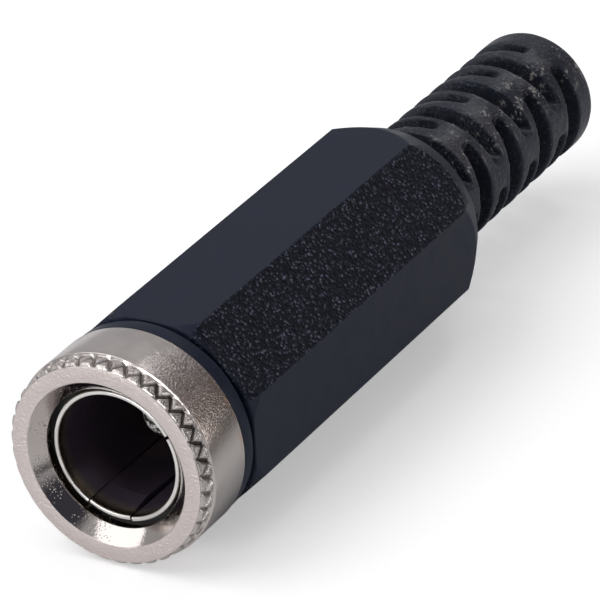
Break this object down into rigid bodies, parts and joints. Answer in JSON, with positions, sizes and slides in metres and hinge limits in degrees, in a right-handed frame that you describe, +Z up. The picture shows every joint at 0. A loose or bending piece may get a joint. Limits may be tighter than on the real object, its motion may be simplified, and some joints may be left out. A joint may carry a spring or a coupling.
{
  "type": "inline barrel socket connector",
  "caption": "Straight power socket for a cable end: knurled metal mouth round a split centre pin, faceted moulded grip and slotted strain relief.",
  "frame": {"origin": "centre of the bounding box, at its lowest point", "axes": "+X along the connector's axis from the mating face to the cable end, +Z up"},
  "size_m": [0.0394, 0.0096, 0.0096],
  "materials": {
    "nickel_plate": "satin nickel plate on a turned part, with a brighter knurl",
    "black_moulding": "black moulded plastic, fine matt with coarser spark texture on every second flat",
    "insulating_moulding": "plain black moulding",
    "contact_sheet": "bright plated spring sheet",
    "pin_metal": "plated turned brass, warm where the plating is thin",
    "tag_metal": "tin-plated stamped sheet"
  },
  "bodies": {
    "root": {"shell": "nickel_plate", "insulator": "insulating_moulding", "sleeve_contact": "contact_sheet", "centre_pin": "pin_metal", "earth_tag": "tag_metal", "cover": "black_moulding"}
  },
  "joints": []
}
